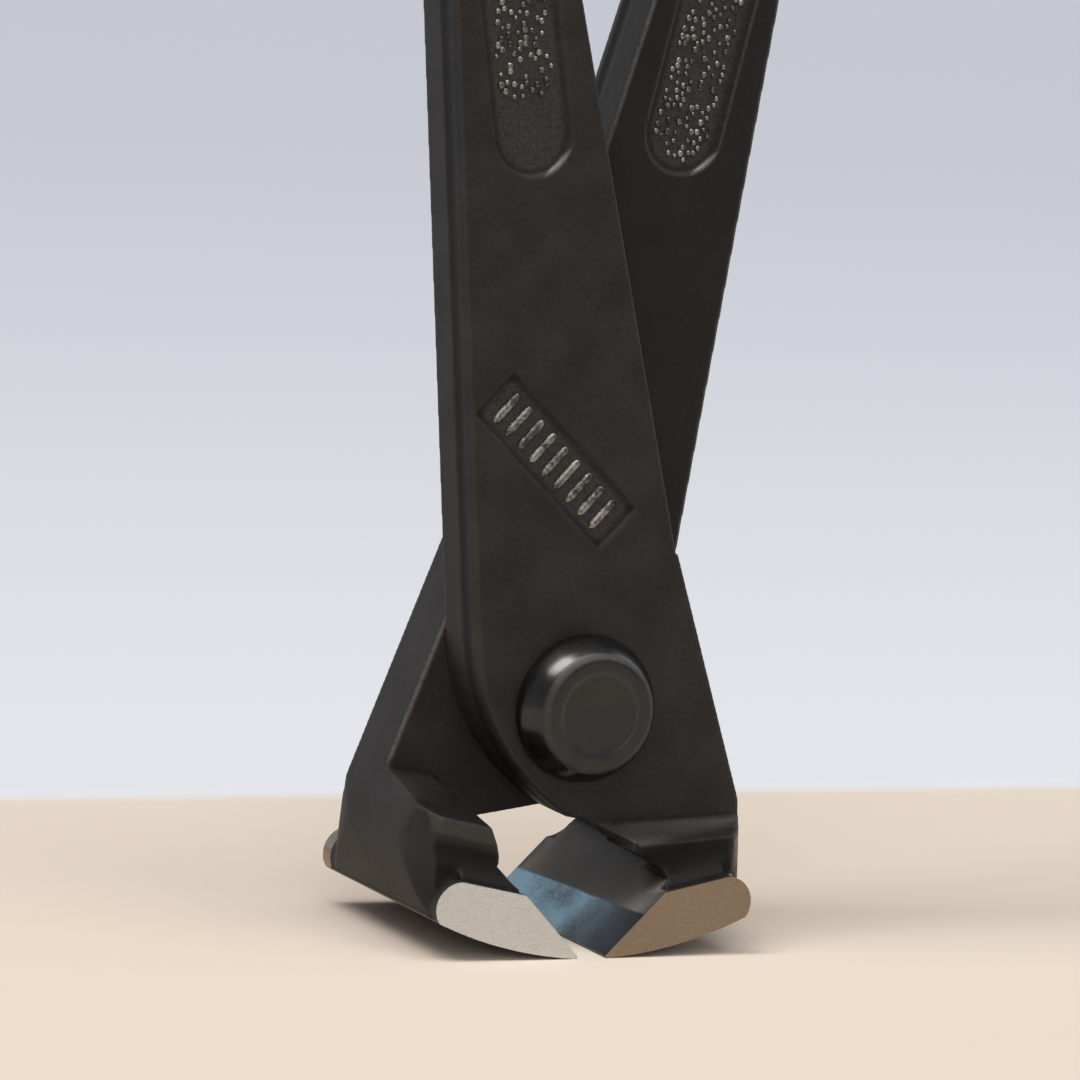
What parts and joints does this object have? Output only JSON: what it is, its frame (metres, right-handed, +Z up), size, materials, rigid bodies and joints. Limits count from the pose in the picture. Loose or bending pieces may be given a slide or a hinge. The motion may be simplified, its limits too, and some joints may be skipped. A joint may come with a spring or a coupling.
{
  "type": "end cutting nippers",
  "caption": "Long-handled end cutting nippers: forged levers lapped on a rivet, wide ground jaws cutting across the end, dipped sleeves on the handles.",
  "frame": {"origin": "on the surface under the cutting tips, midway between the jaws and midway through the thickness", "axes": "+Z up along the handles; Y along the rivet, with the front lever's face toward -Y; +X toward the front lever's jaw"},
  "size_m": [0.084, 0.0248, 0.2999],
  "materials": {
    "black_steel": "forged steel with a black phosphate coating, bright where the tips are ground",
    "rivet_steel": "turned and formed steel, blackened",
    "dipped_plastic": "soft black plastic, dipped"
  },
  "bodies": {
    "front_half": {"front_lever": "black_steel", "pivot_rivet": "rivet_steel", "front_sleeve": "dipped_plastic"},
    "rear_half": {"rear_lever": "black_steel", "rear_sleeve": "dipped_plastic"}
  },
  "joints": [
    {"name": "jaw_hinge", "type": "hinge", "parent": "front_half", "child": "rear_half", "pos_m": [0, 0, 0.02186], "axis": [0, 1, 0], "range_deg": [-6.9, 33]}
  ]
}
